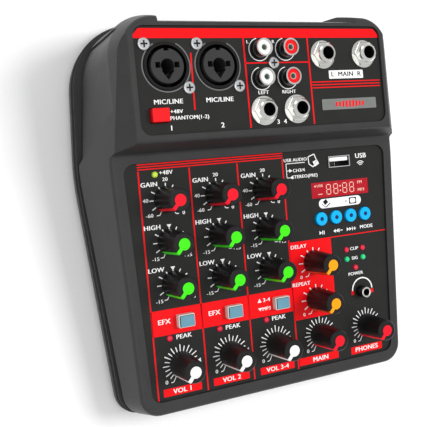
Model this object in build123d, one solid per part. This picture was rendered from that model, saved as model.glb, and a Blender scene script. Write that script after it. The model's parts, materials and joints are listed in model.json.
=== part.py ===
from build123d import *
import os
from math import cos, radians, sin

# A small desktop mixing console, in millimetres.
# X runs to the right, Y runs away from the user, Z is up.
# The origin is on the table, under the middle of the case.

# ---------------------------------------------------------------- case
CASE_DEPTH = 195.0
FRONT_Y = -CASE_DEPTH / 2
REAR_Y = CASE_DEPTH / 2
WIDE_Y = 20.0               # the plan is widest here
FOOT_HEIGHT = 3.0
TRAY_TOP = 8.2              # parting line between tray and shell
TRAY_WALL = 2.2
CAVITY_INSET = 6.0          # the hollow stands in from the outer surface by this
RIM_RISE = 1.0              # the shell's rim stands this far above its faceplates
PLATE = 1.2                 # faceplate thickness
DECK = 2.3                  # shell thickness under a faceplate
DECK_INSET = 3.0            # a deck plate's edge stands in from its faceplate's edge by this
EDGE_ROUND = 2.2            # rounding of the rim's outer edge
FLANGE_INSET = 0.8          # the shell's bottom flange stands in from the tray by this
FLANGE_TOP = 11.0
GROOVE_TOP = 14.4
GROOVE_INSET = 4.7
AROUND = 6.0                # cutters reach this far outside the case
# plan of the case at three heights:
# height, half-widths at the front, the widest place and the rear, rear edge, corner radii
PLANS = (
    (TRAY_TOP, 79.5, 86.5, 80.0, REAR_Y, 11.0, 38.0),
    (38.0, 70.6, 80.0, 77.0, 90.5, 10.0, 27.0),
    (68.0, 62.0, 69.5, 68.8, 79.0, 9.0, 12.0),
)
# the same plan for the steeper walls of the two finger scoops towards the rear
WAISTS = (
    (TRAY_TOP, 82.0, 85.2, 73.8, 94.5, 11.0, 32.5),
    (38.0, 78.0, 78.5, 74.1, 88.4, 10.0, 24.5),
    (68.0, 74.0, 71.8, 74.5, 82.2, 9.0, 16.0),
)
SCOOP_FRONT = ((24.5, GROOVE_TOP), (33.4, 34.5), (42.5, 51.0))     # Y and Z up the scoops' front crease
SCOOP_REAR = ((-90.5, 99.3), (-45.5, 59.7)) # behind this line the rear corners stand prouder
CORNER_PROUD = 0.9
SHOULDER_HALF = 68.4        # the upper deck's sides slope out from here
SHOULDER_SLOPE = 0.9        # sideways per height
RECESS_X = (-53.0, 51.5)    # the rear wall is set back between the two rear corners
RECESS_DEPTH, RECESS_FLARE = 2.6, 3.0
SIDE_ROUND = 150.0          # the sides turn gently at the widest place

# ---------------------------------------------------------------- the two control surfaces
LOWER_TILT = 8.0
LOWER_Y = -91.2             # front end of the lower faceplate's layout
LOWER_Z = 28.0
STEP_S = 108.64             # where the upper surface's plane starts, up the lower slope
STEP_RISE = 12.6
STEP_FOOT, STEP_HEAD = 4.2, 3.2             # ledges between the step and the two faceplates
UPPER_TILT = 6.8

LOWER = Plane(origin=(0, LOWER_Y, LOWER_Z), x_dir=(1, 0, 0),
              z_dir=(0, -sin(radians(LOWER_TILT)), cos(radians(LOWER_TILT))))
UPPER = Plane(origin=LOWER.from_local_coords(Vector(0, STEP_S, STEP_RISE)), x_dir=(1, 0, 0),
              z_dir=(0, -sin(radians(UPPER_TILT)), cos(radians(UPPER_TILT))))

LOWER_FRONT, LOWER_REAR = 0.0, 111.0        # lower faceplate, along the slope
LOWER_HALF_FRONT, LOWER_HALF_REAR = 68.4, 72.6
UPPER_FRONT, UPPER_REAR = 14.0, 62.4        # upper faceplate
UPPER_HALF_FRONT, UPPER_HALF_REAR = 66.2, 66.0
PLATE_CORNER = 5.0
PLATE_GAP = 0.1

# ---------------------------------------------------------------- rotary controls
COLUMNS = (-52.6, -26.9, -1.3)              # the three channel strips
MAIN_X, PHONES_X, DELAY_X = 24.7, 53.7, 24.2
VOL_S, LOW_S, HIGH_S, GAIN_S = 16.0, 54.0, 73.8, 93.5
REPEAT_S, DELAY_S = 34.6, 53.8
KNOB_GAP = 0.5
KNOB_HEIGHT = 17.6
KNOB_R_BASE, KNOB_R_TOP = 6.1, 5.15
CAP_R = 2.7
POINTER_WIDTH = 1.7
POINTER_ANGLE = 229.0       # the pointer at the start of its travel, counter-clockwise from +X
SHAFT_R, SHAFT_BOTTOM, SHAFT_TOP = 3.0, -9.0, 11.0
BUSH_R, BUSH_HOLE_R = 4.2, 3.3

# ---------------------------------------------------------------- buttons
SQUARE_BUTTON = (8.2, 6.2, 3.2)             # width, depth, height above the faceplate
SQUARE_TRAVEL = 1.8
SELECT_X = (-49.0, -23.7, 2.6)              # one square button in each channel strip
SELECT_S = 36.4
PHANTOM_X, PHANTOM_U = -57.0, 22.7
ROUND_BUTTON_R, ROUND_BUTTON_HEIGHT = 3.5, 1.5
ROUND_TRAVEL = 0.6
ROUND_X, ROUND_PITCH, ROUND_S = 30.3, 9.08, 75.3
BUTTON_GAP = 0.3

# ---------------------------------------------------------------- indicators and display
LED_R, LED_RISE = 1.5, 1.2
PEAK_S, PEAK_DX = 28.9, -4.7
RED_LEDS = [(x + PEAK_DX, PEAK_S) for x in COLUMNS] + [
    (-57.4, 105.5), (44.5, 57.4), (54.7, 57.4), (49.5, 47.5)]
GREEN_LEDS = [(44.5, 52.4), (54.7, 52.4)]
DISPLAY_X, DISPLAY_S, DISPLAY_W, DISPLAY_D = 43.9, 90.0, 35.2, 8.0

# ---------------------------------------------------------------- sockets
COMBO_X, COMBO_U = (-51.4, -26.1), 44.4
COMBO_R, COMBO_WALL, COMBO_CORE_R = 10.8, 1.3, 7.9
COMBO_DEPTH, COMBO_LIP, COMBO_CORE_RISE = 16.0, 0.7, 1.7
COMBO_SCREW = 9.85
PLUG_R = 3.2                                # bore for a 6.35 mm plug
RCA_X, RCA_U = (-4.0, 10.25), (51.4, 37.7)
RCA_R, RCA_INNER_R, RCA_PIN_R, RCA_HEIGHT = 4.15, 3.45, 1.6, 6.1
RCA_SCREW = (3.1, 44.9)
JACKS = ((31.05, 48.5), (55.3, 48.5), (-4.3, 22.5), (13.7, 22.5))
JACK_R, JACK_HEIGHT, JACK_BUSH_DEPTH = 4.7, 5.8, 8.0
NUT_R, NUT_HEIGHT, WASHER_R, WASHER = 6.5, 2.0, 6.9, 0.8
PHONES_JACK_X, PHONES_JACK_S = 51.9, 34.4
PHONES_R, PHONES_HEIGHT, PHONES_BORE_R, PHONES_DEPTH = 3.0, 5.0, 1.8, 10.0
USB_X, USB_S, USB_W, USB_D, USB_WALL = 43.9, 104.0, 13.2, 5.8, 0.4
USB_RISE, USB_DEPTH = 0.8, 14.0
INLET_X, INLET_Z, INLET_R, INLET_PIN_R = 38.0, 26.0, 5.5, 1.0

# ---------------------------------------------------------------- inside and below
BOARD_TOP, BOARD = -11.4, 1.6
USB_CLEAR_R, PHONES_CLEAR_R = 8.6, 5.5      # holes in the lower board under these two sockets
UPPER_BOARD_TOP = -22.0
SCREW_R, SCREW_HEAD, SCREW_SHANK_R = 2.9, 1.2, 1.5
CASE_SCREWS = ((-62, -74), (62, -74), (-62, 62), (62, 62))
FEET = ((-72, -76), (72, -76), (-75.5, 53), (75.5, 53))
FOOT_R = 7.0
POST_R, POST_TOP, HEAD_POCKET_R = 4.0, 14.5, 3.4


def on(plane, x, y, shape, z=0.0):
    """The shape, moved to a place on one of the control surfaces."""
    return plane.location * Pos(x, y, z) * shape


def rod(radius, low, high):
    """A cylinder on the Z axis between two heights."""
    return Pos(0, 0, low) * Cylinder(radius, high - low, align=(Align.CENTER, Align.CENTER, Align.MIN))


def block(width, depth, low, high):
    """A box on the Z axis between two heights."""
    return Pos(0, 0, low) * Box(width, depth, high - low, align=(Align.CENTER, Align.CENTER, Align.MIN))


# ---------------------------------------------------------------- the case
def plan(row, inset):
    """The outline of the case at one height, moved in by an inset."""
    z, front, wide, rear, rear_y, front_round, rear_round = row
    front, wide, rear = front - inset, wide - inset, rear - inset
    low_y, high_y = FRONT_Y + inset, rear_y - inset
    corners = [(-front, low_y), (front, low_y), (wide, WIDE_Y),
               (rear, high_y), (-rear, high_y), (-wide, WIDE_Y)]
    outline = make_face(Polyline(*corners, close=True))
    for y, radius in ((low_y, front_round - inset), (WIDE_Y, SIDE_ROUND), (high_y, rear_round - inset)):
        ends = [v for v in outline.vertices() if abs(v.Y - y) < 0.01]
        outline = fillet(ends, radius)
    return Pos(0, 0, z) * outline


def side_profile(drop):
    """The outline of the case seen from the side, lowered by drop at both control surfaces."""
    rise = RIM_RISE - drop
    step_foot, step_head = LOWER_REAR + STEP_FOOT, UPPER_FRONT - STEP_HEAD
    points = [LOWER.from_local_coords(Vector(0, s, rise)) for s in (-16, step_foot + drop)]
    points += [UPPER.from_local_coords(Vector(0, u, rise)) for u in (step_head + drop, 90)]
    outline = [(FRONT_Y - 8, TRAY_TOP)] + [(p.Y, p.Z) for p in points] + [(points[-1].Y, TRAY_TOP)]
    return extrude(Plane.YZ * make_face(Polyline(*outline, close=True)), amount=100, both=True)


def shoulders():
    """Everything between the sloping sides of the upper deck."""
    fall = LOWER_Z * 3
    low_half, low = SHOULDER_HALF + fall * SHOULDER_SLOPE, RIM_RISE - fall
    section = Polyline((-SHOULDER_HALF, RIM_RISE), (SHOULDER_HALF, RIM_RISE),
                       (low_half, low), (-low_half, low), close=True)
    return UPPER.location * extrude(Plane.XZ * make_face(section), amount=CASE_DEPTH, both=True)


def case_volume(inset, drop):
    """The whole inside of the case's outer surface, above the parting line."""
    return loft([plan(row, inset) for row in PLANS]) & side_profile(drop)


def faceplate_outline(front, rear, half_front, half_rear, gap):
    face = make_face(Polyline((-half_front + gap, front + gap), (half_front - gap, front + gap),
                              (half_rear - gap, rear - gap), (-half_rear + gap, rear - gap), close=True))
    return fillet(face.vertices(), PLATE_CORNER)


def lower_outline(gap):
    return faceplate_outline(LOWER_FRONT, LOWER_REAR, LOWER_HALF_FRONT, LOWER_HALF_REAR, gap)


def upper_outline(gap):
    return faceplate_outline(UPPER_FRONT, UPPER_REAR, UPPER_HALF_FRONT, UPPER_HALF_REAR, gap)


def rim_edges(case):
    """The edges where the control surfaces meet the sides of the case."""
    found = []
    for plane in (LOWER, UPPER):
        for face in case.faces().filter_by(GeomType.PLANE):
            if abs(face.normal_at().dot(plane.z_dir) - 1) < 1e-4 and face.center().Z > LOWER_Z:
                found += face.edges()
    return found


def knob_places():
    """Each rotary control's name and place on the lower surface."""
    rows = (("gain", GAIN_S), ("high", HIGH_S), ("low", LOW_S), ("volume", VOL_S))
    places = [(f"{row}_{i + 1}", x, s) for row, s in rows for i, x in enumerate(COLUMNS)]
    return places + [("delay", DELAY_X, DELAY_S), ("repeat", DELAY_X, REPEAT_S),
                     ("main", MAIN_X, VOL_S), ("phones", PHONES_X, VOL_S)]


def round_button_places():
    return [(ROUND_X + i * ROUND_PITCH, ROUND_S) for i in range(4)]


def lower_openings(extra):
    """Cutters for everything that comes through the lower surface."""
    low, high = -9.0, 3.0
    cutters = [on(LOWER, x, s, rod(SHAFT_R + 0.6 + extra, low, high)) for _, x, s in knob_places()]
    wide, deep = SQUARE_BUTTON[0] + 2 * BUTTON_GAP + extra, SQUARE_BUTTON[1] + 2 * BUTTON_GAP + extra
    cutters += [on(LOWER, x, SELECT_S, block(wide, deep, low, high)) for x in SELECT_X]
    round_hole = rod(ROUND_BUTTON_R + BUTTON_GAP + extra, low, high)
    cutters += [on(LOWER, x, s, round_hole) for x, s in round_button_places()]
    cutters += [on(LOWER, x, s, rod(LED_R + 0.05 + extra, low, high)) for x, s in RED_LEDS + GREEN_LEDS]
    for x, s, wide, deep in ((DISPLAY_X, DISPLAY_S, DISPLAY_W, DISPLAY_D), (USB_X, USB_S, USB_W, USB_D)):
        cutters.append(on(LOWER, x, s, block(wide + 0.1 + extra, deep + 0.1 + extra, low, high)))
    cutters.append(on(LOWER, PHONES_JACK_X, PHONES_JACK_S, rod(PHONES_R + 0.05 + extra, low, high)))
    return cutters


def upper_openings(extra):
    """Cutters for everything that comes through the upper surface."""
    low, high = -9.0, 3.0
    cutters = [on(UPPER, x, COMBO_U, rod(COMBO_R + 0.05, low, high)) for x in COMBO_X]
    cutters += [on(UPPER, x, u, rod(SCREW_SHANK_R + 0.05, low, high)) for x, u in panel_screw_places()]
    cutters += [on(UPPER, x, u, rod(RCA_R + 0.05 + extra, low, high)) for x in RCA_X for u in RCA_U]
    cutters += [on(UPPER, x, u, rod(JACK_R + 0.05 + extra, low, high)) for x, u in JACKS]
    wide, deep = SQUARE_BUTTON[0] + 2 * BUTTON_GAP + extra, SQUARE_BUTTON[1] + 2 * BUTTON_GAP + extra
    cutters.append(on(UPPER, PHANTOM_X, PHANTOM_U, block(wide, deep, low, high)))
    return cutters


def groove():
    """Cutter for the shadow groove between the shell's flange and its walls."""
    height = GROOVE_TOP - TRAY_TOP
    flange_and_below = extrude(plan(PLANS[0], FLANGE_INSET), FLANGE_TOP - TRAY_TOP)
    ring = extrude(plan(PLANS[0], -AROUND), height) - extrude(plan(PLANS[0], GROOVE_INSET), height)
    return ring - flange_and_below


def scoops():
    """Cutter for the finger scoops: the walls stand steeper behind a slanting crease on each side."""
    low, high = SCOOP_FRONT[0][1], SCOOP_FRONT[-1][1]
    behind = REAR_Y + AROUND
    waist, corners = (loft([plan(row, inset) for row in WAISTS]) for inset in (0, -CORNER_PROUD))
    profile = make_face(Polyline(*SCOOP_FRONT, (behind, high), (behind, low), close=True))
    (out_x, out_y), (in_x, in_y) = SCOOP_REAR
    outline = Polyline((out_x, out_y), (in_x, in_y), (-in_x, in_y), (-out_x, out_y),
                       (-out_x, behind), (out_x, behind), close=True)
    rear = Pos(0, 0, low) * extrude(make_face(outline), high - low)
    sides = extrude(Plane.YZ * profile, amount=100, both=True) - rear
    return (sides - waist) + (rear - corners)


def rear_recess():
    """Cutter for the shallow recess of the rear wall, which leaves the two rear corners standing proud."""
    (left, right), front, behind = RECESS_X, REAR_Y - 30, REAR_Y + AROUND
    outline = Polyline((left - RECESS_FLARE, behind), (left, front), (right, front),
                       (right + RECESS_FLARE, behind), close=True)
    opening = Pos(0, 0, GROOVE_TOP) * extrude(make_face(outline), 80)
    return opening - loft([plan(row, RECESS_DEPTH) for row in PLANS])


def top_shell():
    """The moulded upper half of the case, with its two decks as plain plates let into the walls."""
    outer = case_volume(0, 0) & shoulders()
    outer = fillet(rim_edges(outer), EDGE_ROUND)
    walls = outer - groove() - scoops() - rear_recess() - case_volume(CAVITY_INSET, RIM_RISE + PLATE + DECK)
    for plane, outline in ((LOWER, lower_outline(0)), (UPPER, upper_outline(0))):
        walls -= plane.location * Pos(0, 0, -PLATE) * extrude(outline, PLATE + RIM_RISE + 4)
    solids = []
    for plane, outline, openings in ((LOWER, lower_outline(DECK_INSET), lower_openings(1.2)),
                                     (UPPER, upper_outline(DECK_INSET), upper_openings(0.4))):
        deck = plane.location * Pos(0, 0, -PLATE - DECK) * extrude(outline, DECK)
        walls -= deck
        for cutter in openings:
            deck -= cutter
            walls -= cutter
        solids.append(deck)
    return [walls - inlet_cutter()] + solids


def inlet_cutter():
    return Pos(INLET_X, REAR_Y, INLET_Z) * Rot(90, 0, 0) * rod(INLET_R + 0.05, -10, 20)


def bottom_tray():
    """The lower half of the case: a shallow tray with screw posts."""
    depth = TRAY_TOP - FOOT_HEIGHT
    body = Pos(0, 0, -depth) * extrude(plan(PLANS[0], 0), depth)
    body = chamfer(body.faces().sort_by(Axis.Z)[0].edges(), 1.6)
    body -= Pos(0, 0, TRAY_WALL - depth) * extrude(plan(PLANS[0], TRAY_WALL), depth)
    for x, y in CASE_SCREWS:
        body += Pos(x, y, 0) * rod(POST_R, FOOT_HEIGHT + TRAY_WALL - 0.1, POST_TOP)
    for x, y in CASE_SCREWS:
        body -= Pos(x, y, 0) * rod(SCREW_SHANK_R, 0, 30)
        body -= Pos(x, y, 0) * rod(HEAD_POCKET_R, 0, FOOT_HEIGHT + 1.4)
    return body


def rubber_feet():
    foot = chamfer(rod(FOOT_R, 0, FOOT_HEIGHT).edges().group_by(Axis.Z)[0], 0.8)
    return [Pos(x, y, 0) * foot for x, y in FEET]


def lower_faceplate():
    plate = LOWER.location * Pos(0, 0, -PLATE) * extrude(lower_outline(PLATE_GAP), PLATE)
    for cutter in lower_openings(0):
        plate -= cutter
    return plate


def upper_faceplate():
    plate = UPPER.location * Pos(0, 0, -PLATE) * extrude(upper_outline(PLATE_GAP), PLATE)
    for cutter in upper_openings(0):
        plate -= cutter
    return plate


# ---------------------------------------------------------------- rotary controls
def cone(grow):
    """The knob's tapered body, grown outwards by an amount."""
    section = make_face(Polyline((0, KNOB_GAP), (KNOB_R_BASE + grow, KNOB_GAP),
                                 (KNOB_R_TOP + grow, KNOB_HEIGHT + grow), (0, KNOB_HEIGHT + grow), close=True))
    body = revolve(Plane.XZ * section, Axis.Z)
    return chamfer(body.edges().group_by(Axis.Z)[-1], 0.5)


def knob_and_pointer():
    """The knob with its shaft, and its coloured cap and pointer, around the Z axis."""
    proud, sunk = 0.2, 0.5
    arm = Pos(KNOB_R_BASE / 2 + 1, 0, 0) * block(KNOB_R_BASE + 2, POINTER_WIDTH, KNOB_GAP, 30)
    arm = Rot(0, 0, POINTER_ANGLE) * arm
    pointer = (cone(proud) - cone(-sunk)) & (rod(CAP_R, KNOB_HEIGHT - 1, 30) + arm)
    shaft = rod(SHAFT_R, SHAFT_BOTTOM, SHAFT_TOP)
    knob = cone(0) - pointer - shaft
    return [knob, shaft], pointer


def potentiometers():
    """The fixed halves of the rotary controls and the switches, standing on the lower board."""
    body = block(9.6, 11.0, BOARD_TOP, -5.2) + rod(BUSH_R, -5.3, -PLATE - 0.1)
    body -= rod(BUSH_HOLE_R, SHAFT_BOTTOM - 0.4, 0)
    found = [on(LOWER, x, s, body) for _, x, s in knob_places()]
    latch = block(7.0, 6.0, BOARD_TOP, -8.2)
    found += [on(LOWER, x, SELECT_S, latch) for x in SELECT_X]
    tact = block(6.0, 6.0, BOARD_TOP, -4.8)
    found += [on(LOWER, x, s, tact) for x, s in round_button_places()]
    tower = block(7.0, 6.0, UPPER_BOARD_TOP, -8.2)
    return found + [on(UPPER, PHANTOM_X, PHANTOM_U, tower)]


# ---------------------------------------------------------------- buttons
def square_button():
    width, depth, height = SQUARE_BUTTON
    cap = block(width, depth, -3.2, height)
    cap = fillet(cap.edges().filter_by(Axis.Z), 0.6)
    cap = fillet(cap.edges().group_by(Axis.Z)[-1], 0.5)
    return cap + block(3.0, 3.0, -5.8, -3.1)


def round_button():
    cap = fillet(rod(ROUND_BUTTON_R, -2.6, ROUND_BUTTON_HEIGHT).edges().group_by(Axis.Z)[-1], 0.6)
    return cap + rod(1.6, -4.0, -2.5) - rod(1.1, ROUND_BUTTON_HEIGHT - 0.4, ROUND_BUTTON_HEIGHT + 1)


# ---------------------------------------------------------------- indicators and display
def leds():
    """Round indicator lenses: a short barrel with a domed end."""
    lens = fillet(rod(LED_R, -6.0, LED_RISE).edges().group_by(Axis.Z)[-1], 1.1)
    return [on(LOWER, x, s, lens) for x, s in RED_LEDS + GREEN_LEDS]


def display_window():
    """The display: a tinted window in the faceplate with its module under it."""
    window = on(LOWER, DISPLAY_X, DISPLAY_S, block(DISPLAY_W, DISPLAY_D, -PLATE, -0.1))
    module = on(LOWER, DISPLAY_X, DISPLAY_S, block(DISPLAY_W - 0.4, DISPLAY_D - 0.4, BOARD_TOP, -PLATE))
    return [window, module]


# ---------------------------------------------------------------- sockets
def combo_housings():
    """Sleeves of the two combined microphone and line sockets."""
    sleeve = rod(COMBO_R, -COMBO_DEPTH, COMBO_LIP)
    sleeve = chamfer(sleeve.edges().group_by(Axis.Z)[-1], 0.4)
    sleeve -= rod(COMBO_R - COMBO_WALL, -COMBO_DEPTH + 2, 5)
    sleeve -= rod(COMBO_CORE_R, -COMBO_DEPTH - 1, 0)
    return [on(UPPER, x, COMBO_U, sleeve) for x in COMBO_X]


def combo_cores():
    """Cores of the combined sockets: a plug bore with contact slots around it."""
    core = rod(COMBO_CORE_R, -COMBO_DEPTH, COMBO_CORE_RISE)
    core = fillet(core.edges().group_by(Axis.Z)[-1], 0.6)
    core -= rod(PLUG_R, -COMBO_DEPTH + 1, 5)
    for side in (-1, 1):
        core -= Pos(side * 4.5, 0.4, 0) * block(2.4, 2.6, -5, 5)
    lobe = make_face(Polyline((-3.2, -2.0), (3.2, -2.0), (0, -6.4), close=True))
    core -= Pos(0, 0, -5) * extrude(lobe, 12)
    core -= Pos(0, COMBO_CORE_R, 0) * block(2.4, 2.6, -8, 5)
    return [on(UPPER, x, COMBO_U, core) for x in COMBO_X]


def panel_screw_places():
    places = [(x + side * COMBO_SCREW, COMBO_U - side * COMBO_SCREW) for x in COMBO_X for side in (-1, 1)]
    return places + [RCA_SCREW]


def cross_head_screw(length):
    """A pan-head screw with a cross recess, its head upwards and its seat at zero."""
    head = fillet(rod(SCREW_R, 0, SCREW_HEAD).edges().group_by(Axis.Z)[-1], 0.7)
    slot = block(3.2, 0.8, 0.4, 3) + block(0.8, 3.2, 0.4, 3)
    return head + rod(SCREW_SHANK_R, -length, 0.1) - slot


def screws():
    on_panel = cross_head_screw(8)
    found = [on(UPPER, x, u, on_panel) for x, u in panel_screw_places()]
    seat = FOOT_HEIGHT + 1.4
    return found + [Pos(x, y, seat) * Rot(180, 0, 0) * cross_head_screw(10) for x, y in CASE_SCREWS]


def rca_shells():
    ring = rod(RCA_R, 0, RCA_HEIGHT) + rod(RCA_R - 0.2, -10, 0.1) - rod(RCA_INNER_R, -11, RCA_HEIGHT + 1)
    return [on(UPPER, x, u, ring) for x in RCA_X for u in RCA_U]


def rca_inserts(x):
    insert = rod(RCA_INNER_R, -10, RCA_HEIGHT - 0.5) - rod(RCA_PIN_R, -4, RCA_HEIGHT)
    return [on(UPPER, x, u, insert) for u in RCA_U]


def jack_bushes():
    """Threaded plug bushes, each with the socket body behind it."""
    bush = rod(JACK_R, -JACK_BUSH_DEPTH, JACK_HEIGHT)
    bush = chamfer(bush.edges().group_by(Axis.Z)[-1], 0.7) - rod(PLUG_R, -20, 10)
    body = block(13, 11, UPPER_BOARD_TOP, -JACK_BUSH_DEPTH) - rod(PLUG_R + 0.4, UPPER_BOARD_TOP + 1, 0)
    return [on(UPPER, x, u, solid) for x, u in JACKS for solid in (bush, body)]


def jack_nuts():
    """A washer and a hexagonal nut on each plug bush."""
    hexagon = extrude(RegularPolygon(NUT_R, 6), NUT_HEIGHT)
    nut = Pos(0, 0, WASHER) * chamfer(hexagon.edges().group_by(Axis.Z)[-1], 0.3) - rod(JACK_R, -1, 9)
    washer = rod(WASHER_R, 0, WASHER) - rod(JACK_R, -1, 9)
    return [on(UPPER, x, u, solid) for x, u in JACKS for solid in (washer, nut)]


def phones_jack():
    """The small headphone socket: a tall barrel and a bright ring round its bore."""
    barrel = rod(PHONES_R, -PHONES_DEPTH, PHONES_HEIGHT)
    barrel = chamfer(barrel.edges().group_by(Axis.Z)[-1], 0.5)
    return [on(LOWER, PHONES_JACK_X, PHONES_JACK_S, barrel - rod(PHONES_BORE_R, -20, 20))]


def usb_socket():
    """A metal frame with a contact tongue inside."""
    frame = block(USB_W, USB_D, -USB_DEPTH, USB_RISE)
    frame -= block(USB_W - 2 * USB_WALL, USB_D - 2 * USB_WALL, -USB_DEPTH + 1, 5)
    tongue = Pos(0, 1.2, 0) * block(11.0, 1.8, -USB_DEPTH + 1, -1.5)
    return [on(LOWER, USB_X, USB_S, solid) for solid in (frame, tongue)]


def power_inlet():
    """The low-voltage inlet in the rear wall: a sleeve with a centre pin."""
    sleeve = rod(INLET_R, 0, 14) - rod(INLET_R - 1.6, -1, 12)
    pin = rod(INLET_PIN_R, 3, 12)
    facing = Pos(INLET_X, inlet_mouth(), INLET_Z) * Rot(90, 0, 0)
    return [facing * sleeve, facing * pin]


def inlet_mouth():
    """The rear wall's Y at the inlet's height, a little inside the surface."""
    low, high = PLANS[0], PLANS[1]
    share = (INLET_Z - low[0]) / (high[0] - low[0])
    return low[4] + share * (high[4] - low[4]) - RECESS_DEPTH - 1.5


def circuit_boards():
    lower = on(LOWER, 0, 0, Pos(0, 56.5, BOARD_TOP - BOARD / 2) * Box(128, 100, BOARD))
    for x, s, radius in ((USB_X, USB_S, USB_CLEAR_R), (PHONES_JACK_X, PHONES_JACK_S, PHONES_CLEAR_R)):
        lower -= on(LOWER, x, s, rod(radius, -20, 0))
    upper = on(UPPER, 0, 0, Pos(0, 37, UPPER_BOARD_TOP - BOARD / 2) * Box(126, 46, BOARD))
    return [lower, upper]


def write(node, solids):
    """One STEP file for one named piece, or for a group of identical ones."""
    parts = solids if isinstance(solids, list) else [solids]
    shape = Compound(children=[s for part in parts for s in part.solids()]) if len(parts) > 1 else parts[0]
    shape.label = node
    export_step(shape, f"parts/{node}.step")


def main():
    os.makedirs("parts", exist_ok=True)
    knob, pointer = knob_and_pointer()
    for name, x, s in knob_places():
        write(f"knob_{name}", [on(LOWER, x, s, solid) for solid in knob])
        write(f"pointer_{name}", on(LOWER, x, s, pointer))
    for i, x in enumerate(SELECT_X):
        write(f"select_button_{i + 1}", on(LOWER, x, SELECT_S, square_button()))
    write("phantom_button", on(UPPER, PHANTOM_X, PHANTOM_U, square_button()))
    for i, (x, s) in enumerate(round_button_places()):
        write(f"player_button_{i + 1}", on(LOWER, x, s, round_button()))
    for node in (top_shell, bottom_tray, rubber_feet, lower_faceplate, upper_faceplate, potentiometers,
                 leds, display_window, combo_housings, combo_cores, screws, rca_shells, jack_bushes,
                 jack_nuts, phones_jack, usb_socket, power_inlet, circuit_boards):
        write(node.__name__, node())
    write("rca_inserts_white", rca_inserts(RCA_X[0]))
    write("rca_inserts_red", rca_inserts(RCA_X[1]))


main()
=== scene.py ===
import json
import math

import bmesh
import bpy
from mathutils import Matrix, Vector


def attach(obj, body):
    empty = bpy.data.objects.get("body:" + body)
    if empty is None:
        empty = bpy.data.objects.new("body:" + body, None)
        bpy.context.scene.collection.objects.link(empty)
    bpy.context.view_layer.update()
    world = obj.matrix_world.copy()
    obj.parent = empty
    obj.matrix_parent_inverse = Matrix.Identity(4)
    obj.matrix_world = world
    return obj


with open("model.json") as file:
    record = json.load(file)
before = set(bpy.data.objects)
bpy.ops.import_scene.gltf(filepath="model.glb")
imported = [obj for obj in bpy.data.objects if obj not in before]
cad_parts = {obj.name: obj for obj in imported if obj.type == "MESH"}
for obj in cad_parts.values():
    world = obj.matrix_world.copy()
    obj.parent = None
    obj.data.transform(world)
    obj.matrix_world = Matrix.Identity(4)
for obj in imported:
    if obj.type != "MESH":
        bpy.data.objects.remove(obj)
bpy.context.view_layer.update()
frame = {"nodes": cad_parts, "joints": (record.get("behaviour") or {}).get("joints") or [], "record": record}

MM = 0.001
NODES = frame["nodes"]
JOINTS = {j["name"]: j for j in frame["joints"]}
MOUNTS = {m["name"]: m for m in frame["record"]["mounts"]}
CASE = "case"

# ---------------------------------------------------------------- the two control surfaces, in millimetres
# x runs to the right, s runs up the slope, z stands off the faceplate
COLUMN_X = (-52.6, -26.9, -1.3)
GAIN_S, HIGH_S, LOW_S, VOLUME_S = 93.5, 73.8, 54.0, 16.0
MAIN_X, PHONES_X, DELAY_X = 24.7, 53.7, 24.2
DELAY_S, REPEAT_S = 53.8, 34.6
COMBO_X, COMBO_U = (-51.4, -26.1), 44.4
COMBO_SCREW = 9.85                          # the combined sockets' screws stand this far off, both ways
PHONO_X, PHONO_U, PHONO_SCREW = (-4.0, 10.25), (51.4, 37.7), (3.1, 44.9)
JACKS = ((31.05, 48.5), (55.3, 48.5), (-4.3, 22.5), (13.7, 22.5))
PHONES_JACK = (51.9, 34.4)
USB_X, USB_S = 43.9, 104.0
DISPLAY_S = 90.0
SELECT_X, SELECT_S, SELECT_SIZE = (-49.0, -23.7, 2.6), 36.4, (8.2, 6.2)
ROUND_X, ROUND_PITCH, ROUND_S = 30.3, 9.08, 75.3
SIGNAL_LAMP_S, PHANTOM_LAMP_S, LAMP_BAND = 52.4, 105.5, 2.4
AMBER_CAP_FOOT, SHELL_END_FOOT = 17.2, 5.7  # heights where a two-tone piece changes colour


def surface(point, normal, x, s):
    """The matrix of a control surface, from one known point on it and its normal."""
    z_axis = Vector(normal).normalized()
    x_axis = Vector((1, 0, 0))
    y_axis = z_axis.cross(x_axis)
    origin = Vector(point) - x_axis * x * MM - y_axis * s * MM
    return Matrix.Translation(origin) @ Matrix((x_axis, y_axis, z_axis)).transposed().to_4x4()


def lower_surface():
    joint = JOINTS["gain_1_turn"]
    return surface(joint["pos_m"], -Vector(joint["axis"]), COLUMN_X[0], GAIN_S)


def upper_surface():
    mount = MOUNTS["combo_1_socket"]
    return surface(mount["pos_m"], mount["axis"], COMBO_X[0], COMBO_U)


LOWER = lower_surface()
UPPER = upper_surface()


# ---------------------------------------------------------------- materials
def linear(r, g, b):
    """An sRGB colour, 0 to 255, as linear values."""
    return tuple((v / 255 / 12.92 if v <= 10 else ((v / 255 + 0.055) / 1.055) ** 2.4) for v in (r, g, b))


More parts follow.
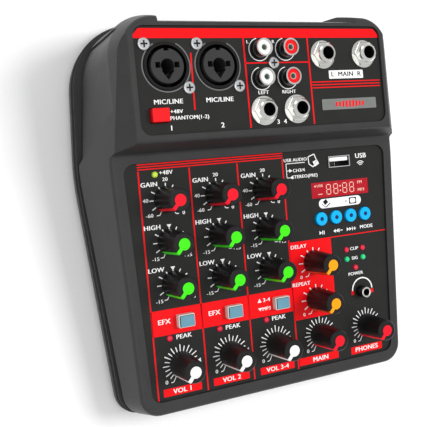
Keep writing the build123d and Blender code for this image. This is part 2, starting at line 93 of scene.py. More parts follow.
def material(name, colour, roughness=0.45, metallic=0.0, mottle=0.08, mottle_size=9.0, rough_spread=0.08,
             grain=0.0, grain_size=0.35, **sockets):
    """A moulded or plated surface: mottled colour, uneven gloss and a fine bump."""
    mat = bpy.data.materials.new(name)
    mat.use_nodes = True
    tree = mat.node_tree
    shader = tree.nodes["Principled BSDF"]
    place = tree.nodes.new("ShaderNodeTexCoord")
    broad = tree.nodes.new("ShaderNodeTexNoise")
    broad.inputs["Scale"].default_value = 1000 / mottle_size
    broad.inputs["Detail"].default_value = 4
    tree.links.new(place.outputs["Object"], broad.inputs["Vector"])
    ramp = tree.nodes.new("ShaderNodeValToRGB")
    ramp.color_ramp.elements[0].position = 0.3
    ramp.color_ramp.elements[1].position = 0.7
    ramp.color_ramp.elements[0].color = tuple(c * (1 - mottle) for c in colour) + (1,)
    ramp.color_ramp.elements[1].color = tuple(min(1, c * (1 + mottle)) for c in colour) + (1,)
    tree.links.new(broad.outputs["Fac"], ramp.inputs["Fac"])
    tree.links.new(ramp.outputs["Color"], shader.inputs["Base Color"])
    spread = tree.nodes.new("ShaderNodeMapRange")
    spread.inputs["To Min"].default_value = max(0.02, roughness - rough_spread)
    spread.inputs["To Max"].default_value = min(1.0, roughness + rough_spread)
    tree.links.new(broad.outputs["Fac"], spread.inputs["Value"])
    tree.links.new(spread.outputs["Result"], shader.inputs["Roughness"])
    shader.inputs["Metallic"].default_value = metallic
    for socket, value in sockets.items():
        shader.inputs[socket.replace("_", " ")].default_value = value
    if grain:
        fine = tree.nodes.new("ShaderNodeTexNoise")
        fine.inputs["Scale"].default_value = 1000 / grain_size
        fine.inputs["Detail"].default_value = 3
        tree.links.new(place.outputs["Object"], fine.inputs["Vector"])
        bump = tree.nodes.new("ShaderNodeBump")
        bump.inputs["Strength"].default_value = grain
        bump.inputs["Distance"].default_value = 0.0001
        tree.links.new(fine.outputs["Fac"], bump.inputs["Height"])
        tree.links.new(bump.outputs["Normal"], shader.inputs["Normal"])
    return mat


CASE_PLASTIC = material("case_plastic", linear(53, 53, 54), 0.46, grain=0.4, grain_size=0.5,
                        Specular_IOR_Level=0.35)
FACEPLATE = material("faceplate_film", linear(36, 36, 35), 0.5, grain=0.25, grain_size=0.3,
                     Specular_IOR_Level=0.25)
KNOB = material("knob_plastic", linear(17, 17, 18), 0.4, grain=0.2, grain_size=0.4, Specular_IOR_Level=0.4)
BOARD_PARTS = material("board_parts", linear(60, 60, 64), 0.5, grain=0.1)
RUBBER = material("foot_rubber", linear(26, 26, 26), 0.8, grain=0.5, grain_size=0.6)
SOCKET_BLACK = material("socket_black", linear(11, 11, 12), 0.4, grain=0.2, Specular_IOR_Level=0.35)
CORE_GREY = material("socket_core", linear(52, 52, 53), 0.5, grain=0.35, grain_size=0.4, Specular_IOR_Level=0.3)
NICKEL = material("nickel_plate", linear(244, 244, 240), 0.2, metallic=1.0, mottle=0.06, rough_spread=0.1)
SCREW_STEEL = material("screw_steel", linear(226, 228, 230), 0.3, metallic=1.0, mottle=0.08, rough_spread=0.1)
# painted shade for the screws' cross recesses: a dark colour standing in the metal hollows
SCREW_RECESS_SHADE = material("screw_recess_shade", linear(20, 20, 22), 0.4, metallic=0.2, mottle=0.08)
SHELL_CHROME = material("shell_chrome", linear(240, 240, 238), 0.26, metallic=1.0, mottle=0.08,
                        rough_spread=0.1)
CONTACT = material("socket_contact", linear(176, 188, 176), 0.35, metallic=0.3, mottle=0.05)
USB_STEEL = material("usb_steel", linear(240, 240, 242), 0.34, metallic=1.0, mottle=0.05)
WHITE_PLASTIC = material("white_plastic", linear(240, 242, 238), 0.35, mottle=0.02, Specular_IOR_Level=0.35)
RED_PLASTIC = material("red_plastic", linear(232, 12, 20), 0.34, mottle=0.04, Specular_IOR_Level=0.35)
BUTTON_CREAM = material("button_cream", linear(232, 228, 220), 0.38, mottle=0.03, Specular_IOR_Level=0.35)
BUTTON_BLUE_GREY = material("button_blue_grey", linear(104, 154, 174), 0.34, mottle=0.05,
                            Specular_IOR_Level=0.35)
BUTTON_BLUE = material("button_blue", linear(0, 176, 240), 0.3, mottle=0.06, Specular_IOR_Level=0.35)
BUTTON_NAVY = material("button_navy", linear(14, 40, 92), 0.35, mottle=0.06)
BOARD_GREEN = material("board_laminate", linear(28, 92, 52), 0.4, mottle=0.15, mottle_size=3)
DISPLAY_RED = material("display_red", linear(176, 10, 30), 0.24, mottle=0.06, Specular_IOR_Level=0.35)
POINTER_RED = material("pointer_red", linear(244, 12, 38), 0.42, mottle=0.03, Specular_IOR_Level=0.3)
POINTER_GREEN = material("pointer_green", linear(66, 236, 16), 0.42, mottle=0.03, Specular_IOR_Level=0.3)
POINTER_WHITE = material("pointer_white", linear(244, 244, 242), 0.42, mottle=0.02, Specular_IOR_Level=0.3)
POINTER_AMBER = material("pointer_amber", linear(255, 160, 4), 0.42, mottle=0.04, Specular_IOR_Level=0.3)
PRINT_WHITE = material("print_white", linear(244, 244, 244), 0.5, mottle=0.03, mottle_size=2,
                       Specular_IOR_Level=0.2)
PRINT_RED = material("print_red", linear(240, 12, 20), 0.48, mottle=0.03, mottle_size=4, Specular_IOR_Level=0.2)
PRINT_DARK = material("print_dark", linear(22, 22, 24), 0.5, mottle=0.05, Specular_IOR_Level=0.2)
PRINT_RING = material("print_ring_grey", linear(112, 112, 112), 0.45, mottle=0.05, Specular_IOR_Level=0.2)
PLATE_GREY = material("badge_grey", linear(132, 134, 132), 0.38, metallic=0.4, mottle=0.06)
DISPLAY_WHITE = material("display_white", linear(248, 196, 180), 0.4, mottle=0.04, Specular_IOR_Level=0.2)
FLOOR = material("floor_paper", linear(250, 250, 250), 0.9, mottle=0.004, mottle_size=200,
                 Specular_IOR_Level=0.1)


def lamp_material():
    """Lamp lenses, coloured by where each lamp stands on the lower surface."""
    mat = material("lamp_lenses", linear(226, 16, 60), 0.25, mottle=0.05, Coat_Weight=0.6)
    tree = mat.node_tree
    shader = tree.nodes["Principled BSDF"]
    red = shader.inputs["Base Color"].links[0].from_socket
    place = tree.nodes.new("ShaderNodeTexCoord")
    split = tree.nodes.new("ShaderNodeSeparateXYZ")
    tree.links.new(place.outputs["Object"], split.inputs[0])

    def band(axis, centre, half):
        near = tree.nodes.new("ShaderNodeMath")
        near.operation = "COMPARE"
        near.inputs[1].default_value = centre
        near.inputs[2].default_value = half
        tree.links.new(split.outputs[axis], near.inputs[0])
        return near.outputs[0]

    signal_y = (LOWER @ Vector((0, SIGNAL_LAMP_S * MM, 0))).y
    phantom_y = (LOWER @ Vector((0, PHANTOM_LAMP_S * MM, 0))).y
    for y, colour in ((signal_y, linear(30, 214, 132)), (phantom_y, linear(198, 232, 70))):
        mix = tree.nodes.new("ShaderNodeMix")
        mix.data_type = "RGBA"
        mix.inputs["B"].default_value = colour + (1,)
        tree.links.new(band(1, y, LAMP_BAND * MM), mix.inputs["Factor"])
        tree.links.new(red, mix.inputs["A"])
        red = mix.outputs["Result"]
    tree.links.new(red, shader.inputs["Base Color"])
    return mat


LAMPS = lamp_material()


def two_tone(mat, colour, surface_matrix, height):
    """Gives a piece's side another colour than its end: below a height over a control surface."""
    tree = mat.node_tree
    shader = tree.nodes["Principled BSDF"]
    cap = shader.inputs["Base Color"].links[0].from_socket
    place = tree.nodes.new("ShaderNodeTexCoord")
    along = tree.nodes.new("ShaderNodeVectorMath")
    along.operation = "DOT_PRODUCT"
    normal = surface_matrix.to_3x3() @ Vector((0, 0, 1))
    along.inputs[1].default_value = normal
    tree.links.new(place.outputs["Object"], along.inputs[0])
    below = tree.nodes.new("ShaderNodeMath")
    below.operation = "LESS_THAN"
    below.inputs[1].default_value = normal.dot(surface_matrix.translation) + height * MM
    tree.links.new(along.outputs["Value"], below.inputs[0])
    mix = tree.nodes.new("ShaderNodeMix")
    mix.data_type = "RGBA"
    mix.inputs["B"].default_value = colour + (1,)
    tree.links.new(below.outputs[0], mix.inputs["Factor"])
    tree.links.new(cap, mix.inputs["A"])
    tree.links.new(mix.outputs["Result"], shader.inputs["Base Color"])


two_tone(POINTER_AMBER, linear(244, 66, 10), LOWER, AMBER_CAP_FOOT)
two_tone(SHELL_CHROME, linear(84, 84, 86), UPPER, SHELL_END_FOOT)


def paint(node, mat):
    """Gives a carried-over CAD node its material."""
    mesh = NODES[node].data
    mesh.materials.clear()
    mesh.materials.append(mat)


def paint_cad():
    """Gives every carried-over CAD node its material, by its name."""
    named = {"top_shell": CASE_PLASTIC, "bottom_tray": CASE_PLASTIC, "rubber_feet": RUBBER,
             "lower_faceplate": FACEPLATE, "upper_faceplate": FACEPLATE, "potentiometers": BOARD_PARTS,
             "leds": LAMPS, "display_window": DISPLAY_RED, "combo_housings": SOCKET_BLACK,
             "combo_cores": CORE_GREY, "screws": SCREW_STEEL, "rca_shells": SHELL_CHROME,
             "rca_inserts_white": WHITE_PLASTIC, "rca_inserts_red": RED_PLASTIC, "jack_bushes": NICKEL,
             "jack_nuts": NICKEL, "phones_jack": SOCKET_BLACK, "usb_socket": USB_STEEL,
             "power_inlet": SOCKET_BLACK, "circuit_boards": BOARD_GREEN, "phantom_button": RED_PLASTIC}
    pointers = {"gain": POINTER_RED, "high": POINTER_GREEN, "low": POINTER_GREEN, "volume": POINTER_WHITE,
                "delay": POINTER_AMBER, "repeat": POINTER_AMBER, "main": POINTER_RED, "phones": POINTER_RED}
    for node in NODES:
        kind = node.split("_")[0]
        if node in named:
            paint(node, named[node])
        elif kind == "knob":
            paint(node, KNOB)
        elif kind == "pointer":
            paint(node, pointers[node.split("_")[1]])
        elif kind == "player":
            paint(node, BUTTON_BLUE)
        elif kind == "select":
            paint(node, BUTTON_CREAM)


# ---------------------------------------------------------------- printed graphics
class Print:
    """Flat printed shapes on one control surface, in one ink, built as one thin piece."""

    def __init__(self, name, place, ink, height):
        self.name, self.place, self.ink, self.height = name, place, ink, height
        self.mesh = bmesh.new()

    def shape(self, points):
        face = [self.mesh.verts.new((x * MM, s * MM, self.height * MM)) for x, s in points]
        made = self.mesh.faces.new(face)
        made.normal_update()
        if made.normal.z < 0:
            made.normal_flip()

    def box(self, x0, s0, x1, s1, corner=0.0):
        if not corner:
            self.shape([(x0, s0), (x1, s0), (x1, s1), (x0, s1)])
            return
        points = []
        for cx, cs, start in ((x1 - corner, s0 + corner, -90), (x1 - corner, s1 - corner, 0),
                              (x0 + corner, s1 - corner, 90), (x0 + corner, s0 + corner, 180)):
            turn = [math.radians(start + a) for a in range(0, 91, 15)]
            points += [(cx + corner * math.cos(t), cs + corner * math.sin(t)) for t in turn]
        self.shape(points)

    def line(self, x0, s0, x1, s1, width):
        along = Vector((x1 - x0, s1 - s0)).normalized()
        side = Vector((-along.y, along.x)) * width / 2
        self.shape([(x0 - side.x, s0 - side.y), (x1 - side.x, s1 - side.y),
                    (x1 + side.x, s1 + side.y), (x0 + side.x, s0 + side.y)])

    def path(self, points, width):
        for (x0, s0), (x1, s1) in zip(points, points[1:]):
            self.line(x0, s0, x1, s1, width)

    def arc(self, x, s, radius, start, end, width, steps=40):
        """A curved band, drawn as joined quads."""
        inner, outer = radius - width / 2, radius + width / 2
        for i in range(steps):
            a, b = (math.radians(start + (end - start) * k / steps) for k in (i, i + 1))
            self.shape([(x + r * math.cos(t), s + r * math.sin(t)) for r, t in
                        ((inner, a), (outer, a), (outer, b), (inner, b))])

    def disc(self, x, s, radius):
        self.shape([(x + radius * math.cos(math.radians(a)), s + radius * math.sin(math.radians(a)))
                    for a in range(0, 360, 20)])

    def radial(self, x, s, angle, r0, r1, width):
        c, d = math.cos(math.radians(angle)), math.sin(math.radians(angle))
        self.line(x + r0 * c, s + r0 * d, x + r1 * c, s + r1 * d, width)

    def text(self, words, x, s, size, bold=0.042, stretch=1.1):
        """Words centred on a point, struck twice for weight; size is the height of a capital."""
        curve = bpy.data.curves.new("words", "FONT")
        curve.body = words
        curve.align_x, curve.align_y = "CENTER", "CENTER"
        curve.size = size / 0.7 * MM
        curve.space_character = 1.06
        curve.resolution_u = 3
        holder = bpy.data.objects.new("words", curve)
        for side in (-1, 1):
            flat = bpy.data.meshes.new_from_object(holder)
            place = Vector((x + side * bold * size, s, self.height + side * 0.003)) * MM
            flat.transform(Matrix.Translation(place) @ Matrix.Diagonal((stretch, 1, 1, 1)))
            self.mesh.from_mesh(flat)
            bpy.data.meshes.remove(flat)
        bpy.data.objects.remove(holder)
        bpy.data.curves.remove(curve)

    def finish(self, body=CASE):
        """Thickens the shapes down to the surface and hangs the piece on its body."""
        for face in self.mesh.faces:
            face.normal_update()
            if face.normal.z < 0:
                face.normal_flip()
        grown = bmesh.ops.extrude_face_region(self.mesh, geom=list(self.mesh.faces))
        tops = [v for v in grown["geom"] if isinstance(v, bmesh.types.BMVert)]
        bmesh.ops.translate(self.mesh, verts=tops, vec=(0, 0, 0.04 * MM))
        bmesh.ops.translate(self.mesh, verts=self.mesh.verts, vec=(0, 0, -0.02 * MM))
        bmesh.ops.recalc_face_normals(self.mesh, faces=self.mesh.faces)
        data = bpy.data.meshes.new(self.name)
        self.mesh.to_mesh(data)
        self.mesh.free()
        data.transform(self.place)
        data.materials.append(self.ink)
        piece = bpy.data.objects.new(self.name, data)
        bpy.context.scene.collection.objects.link(piece)
        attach(piece, body)
        return piece


RED_HEIGHT, WHITE_HEIGHT, DARK_HEIGHT, LIGHT_HEIGHT = 0.03, 0.06, 0.09, 0.12    # inks over the faceplate
LINE_X = (-65.3, -40.1, -14.9, 10.4)        # the red lines between the channel strips
TICK = 0.55


def dial(ink, x, s, ticks):
    """Tick marks every 30 degrees, with a bent mark at each end of the travel."""
    for angle, r1 in ticks:
        ink.radial(x, s, angle, 6.4 if r1 > 7.6 else 5.6, r1, TICK)
    for side in (-1, 1):
        foot = 270 + side * 30
        c, d = math.cos(math.radians(foot)), math.sin(math.radians(foot))
        knee = (x + 8.0 * c, s + 8.0 * d)
        ink.path([(x + 6.3 * c, s + 6.3 * d), knee, (knee[0] + side * 1.5, knee[1] - 0.1)], 0.4)


# each tick mark's angle and outer radius
EVEN_TICKS = [(210, 8.6), (180, 8.5), (150, 8.4), (120, 7.0), (60, 7.6), (30, 8.0), (0, 8.2), (-30, 8.4)]
EFFECT_TICKS = [(210, 8.8), (180, 9.0), (150, 8.6), (120, 7.3), (90, 7.6), (60, 7.8), (30, 7.8), (0, 8.4)]


def channel_graphics(white, x, name):
    """The dials and legends of one channel strip."""
    dial(white, x, GAIN_S, EVEN_TICKS + [(90, 7.8)])
    white.text("GAIN", x - 8.0, 101.0, 2.1)
    white.text("20", x, 102.9, 1.7)
    white.text("40", x - 10.3, 93.7, 1.7)
    white.text("-60", x - 9.0, 86.7, 1.7)
    white.text("0", x + 7.9, 86.6, 1.7)
    for s, tone in ((HIGH_S, "HIGH"), (LOW_S, "LOW")):
        dial(white, x, s, EVEN_TICKS)
        white.shape([(x - 1.15, s + 8.2), (x, s + 6.3), (x + 1.15, s + 8.2)])
        white.line(x, s + 5.2, x, s + 6.8, TICK)
        white.text(tone, x - 8.3, s + 7.3, 2.1)
        white.text("-15", x - 7.9, s - 7.4, 1.7)
        white.text("+15", x + 8.1, s - 7.3, 1.7)
    white.text("PEAK", x + 2.5, 28.8, 2.1)
    level_dial(white, x, VOLUME_S)
    white.text(name, x - 0.3, 3.6, 2.2)


def level_dial(white, x, s):
    """The dense dial of a level control: long and short rays by turns, with a mark at unity."""
    for i in range(15):
        angle = 225 - 15 * i
        white.radial(x, s, angle, 5.6, 9.3 if angle % 30 == 0 else 8.5, 0.5)
    white.shape([(x + 7.9, s), (x + 10.0, s + 1.0), (x + 10.0, s - 1.0)])
    for angle in (-15, -30, -45):
        white.radial(x, s, angle, 5.6, 8.6, 0.5)
    for side, label in ((-1, "0"), (1, "10")):
        foot = 270 + side * 30
        c, d = math.cos(math.radians(foot)), math.sin(math.radians(foot))
        knee = (x + 9.0 * c, s + 9.0 * d)
        white.path([(x + 6.3 * c, s + 6.3 * d), knee, (knee[0] + side * 1.3, knee[1] - 0.2)], 0.4)
        white.text(label, knee[0] + side * 3.5, knee[1] + 0.3, 1.8)


def lower_graphics():
    """The red fields and lines and the white legends of the lower faceplate."""
    red = Print("lower_print_red", LOWER, PRINT_RED, RED_HEIGHT)
    for x in LINE_X:
        red.line(x, 0.6, x, 107.4, 0.7)
    for s in (108.2, 109.35, 110.5):
        red.line(LINE_X[0] - 0.3, s, LINE_X[3] + 0.3, s, 0.5)
    red.box(LINE_X[0] - 0.35, 30.6, LINE_X[3], 42.6)
    red.box(LINE_X[3], 25.4, 35.5, 65.3)
    red.line(35.5, 65.1, 70.6, 65.1, 0.5)
    for x in COLUMN_X:
        red.box(x - 10.0, 1.8, x + 9.4, 5.5, 0.4)
    red.box(11.2, 1.8, 35.0, 5.7, 0.4)
    red.box(43.0, 1.6, 62.9, 5.5, 0.4)
    red.box(45.9, 33.0, 47.5, 35.2)
    red.box(58.3, 32.6, 59.9, 34.8)
    red.finish()

    white = Print("lower_print_white", LOWER, PRINT_WHITE, WHITE_HEIGHT)
    for x, name in zip(COLUMN_X, ("VOL 1", "VOL 2", "VOL 3-4")):
        channel_graphics(white, x, name)
    white.text("+48V", -51.9, 106.0, 1.9)
    for x in COLUMN_X[:2]:
        white.text("EFX", x - 6.7, 36.9, 2.3)
    white.text("3-4", COLUMN_X[2] - 3.6, 38.7, 1.9)
    white.text("MP3", COLUMN_X[2] - 3.9, 34.4, 1.7)
    white.shape([(COLUMN_X[2] - 8.6, 37.9), (COLUMN_X[2] - 6.4, 37.9), (COLUMN_X[2] - 7.5, 39.9)])
    white.shape([(COLUMN_X[2] - 8.6, 35.2), (COLUMN_X[2] - 7.5, 33.6), (COLUMN_X[2] - 6.4, 35.2)])
    for x, name in ((MAIN_X, "MAIN"), (PHONES_X, "PHONES")):
        level_dial(white, x, VOLUME_S)
        white.text(name, x - 0.8, 3.6, 2.35)
    for s, name in ((DELAY_S, "DELAY"), (REPEAT_S, "REPEAT")):
        dial(white, DELAY_X, s, EFFECT_TICKS)
        white.text("0", DELAY_X - 8.0, s - 7.0, 1.7)
        white.text(name, DELAY_X - 8.4, s + 8.8, 1.9)
    white.text("CLIP", 49.6, 57.5, 1.6)
    white.text("SIG", 49.6, 52.4, 1.65)
    white.text("POWER", 49.4, 44.2, 1.65)
    white.arc(52.9, 35.2, 6.2, 0, 180, 0.7)
    player_graphics(white)
    white.finish()


def player_graphics(white):
    """Legends round the display and the player buttons."""
    white.text("USB", 58.0, 105.9, 2.5)
    for radius in (0.9, 1.8, 2.7):
        white.arc(57.6, 100.5, radius, 40, 140, 0.4, 12)
    white.text("USB AUDIO", 18.0, 106.6, 1.6)
    white.path([(23.4, 105.0), (12.4, 105.0), (12.4, 97.9), (14.0, 97.9)], 0.35)
    white.line(12.4, 101.4, 14.0, 101.4, 0.35)
    white.shape([(14.0, 100.5), (15.8, 101.4), (14.0, 102.3)])
    white.shape([(15.8, 97.0), (14.0, 97.9), (15.8, 98.8)])
    white.text("CH3/4", 19.6, 101.2, 1.6)
    white.text("STEREO(PRE)", 23.0, 98.0, 1.6)
    white.path([(25.6, 107.6), (29.3, 108.8), (30.6, 105.4), (28.4, 102.3), (25.9, 103.9), (25.6, 107.6)], 0.5)
    white.shape([(28.2, 104.9), (30.8, 106.0), (31.9, 103.8), (29.3, 102.4)])
    white.box(30.0, 80.5, 56.2, 85.3, 2.3)
    s, half = 68.1, 0.95

    def triangle(x, way):
        white.shape([(x, s - half), (x + way * 1.5, s), (x, s + half)])

    triangle(29.0, 1)
    for x in (30.9, 31.8):
        white.line(x, s - half, x, s + half, 0.45)
    for x in (39.0, 40.6):
        triangle(x, -1)
    for x in (45.9, 47.5):
        triangle(x, 1)
    for x in (41.1, 49.5):
        white.line(x, s - half, x, s + half, 0.45)
    white.line(41.7, s, 43.3, s, 0.4)
    white.line(50.1, s, 51.7, s, 0.4)
    white.line(50.9, s - 0.8, 50.9, s + 0.8, 0.4)
    white.text("MODE", 58.4, s + 0.2, 1.8)

    dark = Print("lower_print_dark", LOWER, PRINT_DARK, DARK_HEIGHT)
    dark.box(48.6, 81.2, 53.2, 84.6, 0.4)
    dark.line(46.0, 82.9, 47.4, 82.9, 0.4)
    dark.shape([(32.4, 83.9), (34.4, 85.2), (35.7, 83.5), (33.7, 82.1)])
    dark.line(34.2, 81.0, 36.9, 82.9, 0.5)
    dark.line(31.8, 82.8, 34.0, 80.9, 0.3)
    dark.finish()
    light = Print("stick_print_light", LOWER, PRINT_WHITE, LIGHT_HEIGHT)
    light.box(49.2, 81.7, 52.6, 84.1, 0.8)
    light.finish()


SEGMENT_GAP = 0.28


def display_digits():
    """The seven-bar figures and the small words behind the display window."""
    ink = Print("display_figures", LOWER, DISPLAY_WHITE, 0.0)
    half_w, half_h, bar = 1.25, 2.5, 0.42
    for x in (36.6, 41.0, 46.6, 51.0):
        for s in (-half_h, 0, half_h):
            ink.line(x - half_w + SEGMENT_GAP, DISPLAY_S + s, x + half_w - SEGMENT_GAP, DISPLAY_S + s, bar)
        for side in (-half_w, half_w):
            for s in (-half_h, 0):
                low, high = DISPLAY_S + s + SEGMENT_GAP, DISPLAY_S + s + half_h - SEGMENT_GAP
                ink.line(x + side, low, x + side, high, bar)
    for s in (-1.2, 1.2):
        ink.disc(43.8, DISPLAY_S + s, 0.42)
    ink.text("USB", 31.3, 92.2, 1.3)
    ink.line(30.0, 87.9, 32.6, 87.9, 0.4)
    ink.text("FM", 56.2, 92.1, 1.5)
    ink.text("MP3", 56.8, 88.1, 1.5)
    ink.disc(28.5, 92.2, 0.5)
    ink.finish()


def upper_graphics():
    """The red fields and lines, legends and socket rings of the upper faceplate."""
    red = Print("upper_print_red", UPPER, PRINT_RED, RED_HEIGHT)
    red.shape([(-66, 56.9), (66, 56.9), (65.6, 58.6), (63.0, 61.3), (-63.0, 61.3), (-65.6, 58.6)])
    for x in (-11.9, 23.2):
        red.line(x, 56.9, x, 14.8, 0.75)
    red.line(-39.1, 50.2, -39.6, 24.5, 0.7)
    red.line(-11.9, 45.1, 23.2, 45.1, 0.6)
    for u in (32.4, 33.8, 35.2):
        red.line(23.8, u, 64.7, u, 0.5)
    red.finish()

    white = Print("upper_print_white", UPPER, PRINT_WHITE, WHITE_HEIGHT)
    for x, number in zip(COMBO_X, ("1", "2")):
        white.text("MIC/LINE", x - 0.6, 28.6, 2.1)
        white.text(number, x - 0.3, 16.8, 2.3)
    white.text("+48V", -48.6, 24.1, 1.7)
    white.text("PHANTOM(1-2)", -42.4, 21.2, 1.7)
    white.text("LEFT", -3.6, 31.1, 1.7)
    white.text("RIGHT", 10.4, 31.0, 1.6)
    white.text("3  4", 5.0, 16.8, 2.1)
    white.text("L", -9.8, 55.0, 1.5)
    white.text("R", 4.0, 55.0, 1.5)
    white.box(34.1, 36.6, 54.6, 40.7, 0.3)
    for x in PHONO_X:
        for u in PHONO_U:
            white.arc(x, u, 5.3, 100, 330, 0.4)
    white.finish()

    dark = Print("upper_print_dark", UPPER, PRINT_DARK, DARK_HEIGHT)
    dark.text("L  MAIN  R", 44.3, 38.7, 2.3)
    dark.finish()

    ring = Print("combo_print_rings", UPPER, PRINT_RING, RED_HEIGHT)
    for x in COMBO_X:
        ring.arc(x, COMBO_U, 11.4, 118, 422, 0.55, 60)
    ring.finish()


# ---------------------------------------------------------------- small fitted pieces
def revolved(name, profile, place, mat, body=CASE, steps=48):
    """A turned piece: (radius, z) points in millimetres, swept round the place's Z axis."""
    mesh = bmesh.new()
    rings = []
    for i in range(steps):
        a = math.tau * i / steps
        rings.append([mesh.verts.new((r * MM * math.cos(a), r * MM * math.sin(a), z * MM)) for r, z in profile])
    for i in range(steps):
        here, there = rings[i], rings[(i + 1) % steps]
        for k in range(len(profile)):
            n = (k + 1) % len(profile)
            mesh.faces.new((here[k], there[k], there[n], here[n]))
    bmesh.ops.remove_doubles(mesh, verts=mesh.verts, dist=1e-7)
    bmesh.ops.recalc_face_normals(mesh, faces=mesh.faces)
    data = bpy.data.meshes.new(name)
    mesh.to_mesh(data)
    mesh.free()
    data.transform(place)
    data.materials.append(mat)
    for polygon in data.polygons:
        polygon.use_smooth = True
    piece = bpy.data.objects.new(name, data)
    bpy.context.scene.collection.objects.link(piece)
    piece.modifiers.new("edges", "EDGE_SPLIT").split_angle = math.radians(40)
    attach(piece, body)
    return piece


def on(surface_matrix, x, s):
    """The matrix of a place on one of the control surfaces."""
    return surface_matrix @ Matrix.Translation((x * MM, s * MM, 0))


def socket_trim():
    """Rings, dark bore tubes and centre contacts of the round sockets; the black tubes in the jacks are partly
    the jacks' own dark bodies and partly painted shade over the metal bores.
    """
    ring = [(1.85, 5.02), (1.85, 4.7), (2.55, 4.7), (2.75, 4.85), (2.7, 5.1), (2.4, 5.25), (2.05, 5.2)]
    revolved("phones_jack_ring", ring, on(LOWER, *PHONES_JACK), NICKEL)
    # black tube down each jack bore: partly the jack's dark body, partly painted shade over the nickel bush
    body_and_shade_profile = [(3.17, 5.0), (2.95, 5.2), (2.85, 4.9), (2.85, -7.8), (3.17, -7.8)]
    for i, (x, u) in enumerate(JACKS):
        revolved(f"jack_body_and_shade_{i + 1}", body_and_shade_profile, on(UPPER, x, u), SOCKET_BLACK)
    sleeve = [(1.59, 5.5), (1.2, 5.4), (1.1, 2.6), (1.59, 2.6)]
    for i, (x, u) in enumerate([(x, u) for u in PHONO_U for x in PHONO_X]):
        revolved(f"rca_contact_{i + 1}", sleeve, on(UPPER, x, u), CONTACT)


def prism(name, outline, low, high, place, mat, body=CASE):
    """A straight-sided piece on one of the control surfaces, from an outline and two heights."""
    mesh = bmesh.new()
    bottom = [mesh.verts.new((x * MM, s * MM, low * MM)) for x, s in outline]
    top = [mesh.verts.new((x * MM, s * MM, high * MM)) for x, s in outline]
    mesh.faces.new(bottom)
    mesh.faces.new(top)
    for i in range(len(outline)):
        n = (i + 1) % len(outline)
        mesh.faces.new((bottom[i], bottom[n], top[n], top[i]))
    bmesh.ops.recalc_face_normals(mesh, faces=mesh.faces)
    data = bpy.data.meshes.new(name)
    mesh.to_mesh(data)
    mesh.free()
    data.transform(place)
    data.materials.append(mat)
    piece = bpy.data.objects.new(name, data)
    bpy.context.scene.collection.objects.link(piece)
    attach(piece, body)
    return piece


def screw_recess_shades():
    """Painted shade: a dark cross standing in the recess of each screw on the upper surface."""
    a, b = 1.58, 0.38           # half the cross's length and width
    cross = [(a, -b), (a, b), (b, b), (b, a), (-b, a), (-b, b),
             (-a, b), (-a, -b), (-b, -b), (-b, -a), (b, -a), (b, -b)]
    places = [(x + side * COMBO_SCREW, COMBO_U - side * COMBO_SCREW) for x in COMBO_X for side in (-1, 1)]
    places.append(PHONO_SCREW)
    for i, (x, u) in enumerate(places):
        prism(f"screw_recess_shade_{i + 1}", cross, 0.38, 0.75, on(UPPER, x, u), SCREW_RECESS_SHADE)


def usb_inside():
    """The white contact tongue of the player's socket, and thin black sheets inside its steel shell as painted
    shade.
    """
    w, d, corner = 5.58, 0.98, 0.3          # half width, half depth and corner of the tongue
    outline = [(-w + corner, -d), (w - corner, -d), (w, -d + corner), (w, d - corner),
               (w - corner, d), (-w + corner, d), (-w, d - corner), (-w, -d + corner)]
    prism("usb_tongue_face", outline, -11.0, 0.1, on(LOWER, USB_X, USB_S + 1.2), WHITE_PLASTIC)
    w, d, wall = 6.18, 2.48, 0.12           # half width, half depth and wall of the painted-shade sheets
    # painted shade: thin black sheets over the inside walls of the steel shell
    for name, (x0, s0, x1, s1) in (("front", (-w, -d, w, -d + wall)), ("rear", (-w, d - wall, w, d)),
                                   ("left", (-w, -d + wall, -w + wall, d - wall)),
                                   ("right", (w - wall, -d + wall, w, d - wall))):
        outline = [(x0, s0), (x1, s0), (x1, s1), (x0, s1)]
        prism(f"usb_painted_shade_{name}", outline, -12.5, 0.2, on(LOWER, USB_X, USB_S), SOCKET_BLACK)


def button_inlays():
    """The face set into each square select button, with a dark line round it, and the round buttons' dots."""
    width, depth = SELECT_SIZE
    for i, x in enumerate(SELECT_X):
        body = f"select_button_{i + 1}"
        line = Print(f"select_line_{i + 1}", on(LOWER, x, SELECT_S), PRINT_DARK, 3.2)
        line.box(-width / 2 + 0.45, -depth / 2 + 0.35, width / 2 - 0.3, depth / 2 - 0.45, 0.4)
        line.finish(body)
        face = Print(f"select_face_{i + 1}", on(LOWER, x, SELECT_S), BUTTON_BLUE_GREY, 3.24)
        face.box(-width / 2 + 0.9, -depth / 2 + 0.35, width / 2 - 0.3, depth / 2 - 0.7, 0.3)
        face.finish(body)
    for i in range(4):
        x = ROUND_X + ROUND_PITCH * i
        dot = Print(f"player_dot_{i + 1}", on(LOWER, x, ROUND_S), BUTTON_NAVY, 1.12)
        dot.disc(0, 0, 1.05)
        dot.finish(f"player_button_{i + 1}")


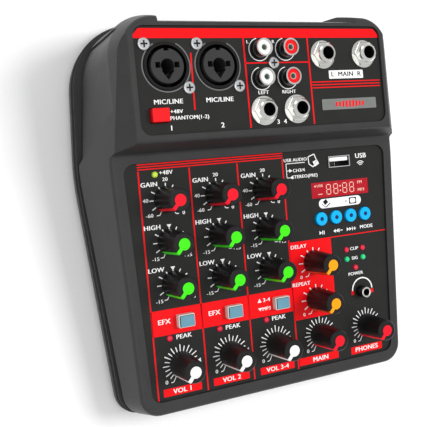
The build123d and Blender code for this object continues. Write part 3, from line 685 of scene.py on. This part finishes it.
def badge():
    """A blank metal badge with a plain row of level bars."""
    plate = Print("badge_plate", UPPER, PLATE_GREY, 0.25)
    plate.box(28.5, 21.2, 61.1, 26.6, 0.5)
    plate.finish()
    bars = Print("badge_bars", UPPER, PRINT_RED, 0.29)
    for i in range(9):
        height = 0.9 + 0.75 * math.sin(math.pi * (i + 0.5) / 9)
        x = 37.0 + 2.0 * i
        bars.box(x - 0.55, 23.9 - height, x + 0.55, 23.9 + height, 0.25)
    bars.finish()


# ---------------------------------------------------------------- stage
def stage():
    """A pale floor, an even pale surround, and three soft lights."""
    bpy.ops.mesh.primitive_plane_add(size=6, location=(0, 0, 0))
    floor = bpy.context.object
    floor.name = "floor"
    floor.data.materials.append(FLOOR)
    world = bpy.data.worlds.new("studio")
    bpy.context.scene.world = world
    world.use_nodes = True
    world.node_tree.nodes["Background"].inputs["Color"].default_value = (1, 1, 1, 1)
    world.node_tree.nodes["Background"].inputs["Strength"].default_value = 0.58
    # each light's place and size in metres, and its power in watts
    for name, place, size, power in (("key", (0.62, 0.04, 1.05), 0.4, 8.5), ("top", (-0.3, -0.2, 1.3), 1.2, 4),
                                     ("rear", (-0.5, 0.9, 0.5), 0.5, 1)):
        light = bpy.data.lights.new(name, "AREA")
        light.size = size
        light.energy = power
        lamp = bpy.data.objects.new(name, light)
        lamp.location = place
        lamp.rotation_euler = (-Vector(place)).to_track_quat("-Z", "Y").to_euler()
        lamp.visible_glossy = name != "key"
        bpy.context.scene.collection.objects.link(lamp)
    bpy.context.scene.view_settings.view_transform = "Standard"


def camera():
    """The camera: over the console's left side, looking down and to the right."""
    data = bpy.data.cameras.new("camera")
    data.sensor_width = 36
    data.lens = 58.1
    data.shift_x, data.shift_y = -0.0089, -0.0243
    data.clip_start = 0.01
    eye = Vector((-0.1631, -0.0267, 0.3406))
    right = Vector((0.90575, -0.1425, 0.39914)).normalized()
    forward = Vector((0.4117, 0.0723, -0.90845))
    up = right.cross(forward).normalized()
    forward = up.cross(right).normalized()
    obj = bpy.data.objects.new("camera", data)
    obj.matrix_world = Matrix.Translation(eye) @ Matrix((right, up, -forward)).transposed().to_4x4()
    bpy.context.scene.collection.objects.link(obj)
    bpy.context.scene.camera = obj


camera()
stage()
paint_cad()
lower_graphics()
display_digits()
upper_graphics()
socket_trim()
screw_recess_shades()
usb_inside()
button_inlays()
badge()
